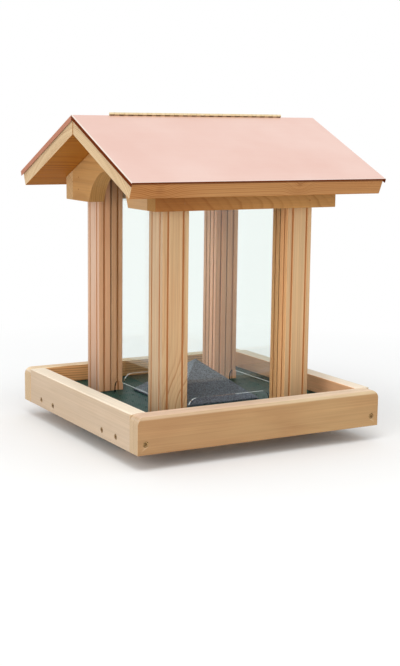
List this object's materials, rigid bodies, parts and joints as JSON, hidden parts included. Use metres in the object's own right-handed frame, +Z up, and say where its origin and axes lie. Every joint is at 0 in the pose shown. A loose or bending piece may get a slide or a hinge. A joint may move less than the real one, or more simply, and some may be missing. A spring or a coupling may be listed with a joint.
{
  "type": "hopper bird feeder",
  "caption": "Post-mounted hopper bird feeder with a screened tray, clear panes between grooved posts and a hinged copper-clad gable roof.",
  "frame": {"origin": "middle of the mount board's underside, where it meets the top of a garden post", "axes": "+X to the right along the front, +Y from the front to the back, +Z up"},
  "size_m": [0.3856, 0.374, 0.4462],
  "materials": {
    "cedar_board": "planed, unfinished cedar",
    "cedar_post": "planed, unfinished cedar, pinkish",
    "clear_pane": "clear acrylic sheet",
    "green_screen": "green powder-coated screen",
    "grey_sheet": "dark grey sheet metal, satin",
    "copper_sheet": "bright new copper sheet, satin",
    "hinge_brass": "bright brass",
    "bronze_screw": "bronze-coated steel",
    "steel_nail": "galvanised steel"
  },
  "bodies": {
    "feeder_frame": {"tray_rail_front": "cedar_board", "tray_rail_back": "cedar_board", "tray_rail_left": "cedar_board", "tray_rail_right": "cedar_board", "floor_slat_front": "cedar_board", "floor_slat_back": "cedar_board", "post_mount_board": "cedar_board", "header_front": "cedar_board", "header_back": "cedar_board", "gable_left": "cedar_board", "gable_right": "cedar_board", "roof_board_back": "cedar_board", "post_front_left": "cedar_post", "post_front_right": "cedar_post", "post_back_left": "cedar_post", "post_back_right": "cedar_post", "pane_front": "clear_pane", "pane_back": "clear_pane", "pane_left": "clear_pane", "pane_right": "clear_pane", "floor_screen": "green_screen", "roof_copper_back": "copper_sheet", "hinge_leaf_fixed": "hinge_brass", "hinge_pin": "hinge_brass", "hinge_screws_fixed": "hinge_brass", "rail_screws": "bronze_screw", "slat_screws": "bronze_screw", "post_screws": "bronze_screw", "mount_board_screws": "bronze_screw", "roof_screws": "bronze_screw", "header_nails": "steel_nail", "gable_nails": "steel_nail"},
    "roof_lid": {"roof_board_front": "cedar_board", "roof_copper_front": "copper_sheet", "hinge_leaf_moving": "hinge_brass", "hinge_screws_moving": "hinge_brass"},
    "diverter": {"seed_diverter": "grey_sheet"}
  },
  "joints": [
    {"name": "roof_lid_hinge", "type": "hinge", "parent": "feeder_frame", "child": "roof_lid", "pos_m": [0, 0, 0.44421], "axis": [-1, 0, 0], "range_deg": [0, 225]},
    {"name": "diverter_lift", "type": "slide", "parent": "feeder_frame", "child": "diverter", "axis": [0, 0, 1], "range_m": [0, 0.28]}
  ]
}
